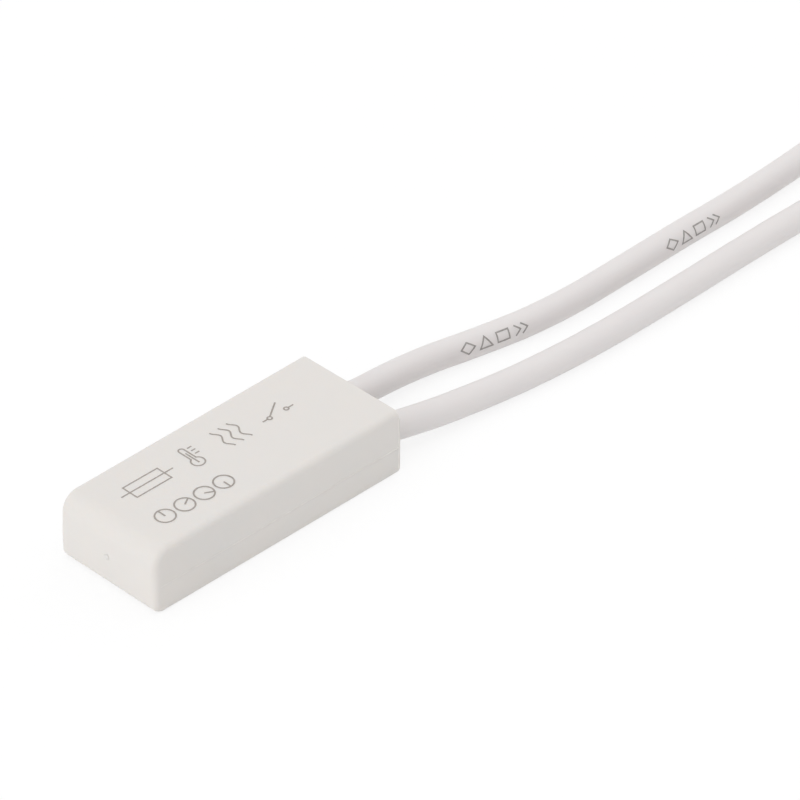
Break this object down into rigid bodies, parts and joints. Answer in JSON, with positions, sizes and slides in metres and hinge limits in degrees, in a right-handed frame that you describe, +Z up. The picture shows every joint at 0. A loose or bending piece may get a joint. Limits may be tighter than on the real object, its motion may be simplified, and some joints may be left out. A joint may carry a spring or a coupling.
{
  "type": "thermal fuse",
  "caption": "Small white resin-cased thermal fuse with a potted end, two insulated leads and a bimetal contact set inside that opens the circuit when it gets too hot.",
  "frame": {"origin": "middle of the case's underside", "axes": "+X from the closed end towards the leads, +Y across the case, +Z up"},
  "size_m": [0.0875, 0.0091, 0.004],
  "materials": {
    "case_resin": "moulded white resin, satin",
    "potting": "cast off-white epoxy",
    "inner_moulding": "dark moulded insulation",
    "terminal_brass": "stamped brass",
    "bimetal": "rolled bimetal",
    "contact_silver": "silver contact rivets",
    "copper_strands": "bare stranded copper",
    "lead_insulation": "white extruded insulation, satin",
    "tinned_strands": "tinned stranded copper"
  },
  "bodies": {
    "root": {"outer_case": "case_resin", "end_seal": "potting", "base_block": "inner_moulding", "clamp_block": "inner_moulding", "fixed_terminal": "terminal_brass", "fixed_contact": "contact_silver", "moving_terminal": "terminal_brass", "bimetal_strip": "bimetal", "moving_contact": "contact_silver", "lead_core_left": "copper_strands", "lead_core_right": "copper_strands", "lead_left": "lead_insulation", "lead_right": "lead_insulation", "lead_tip_left": "tinned_strands", "lead_tip_right": "tinned_strands"}
  },
  "joints": []
}
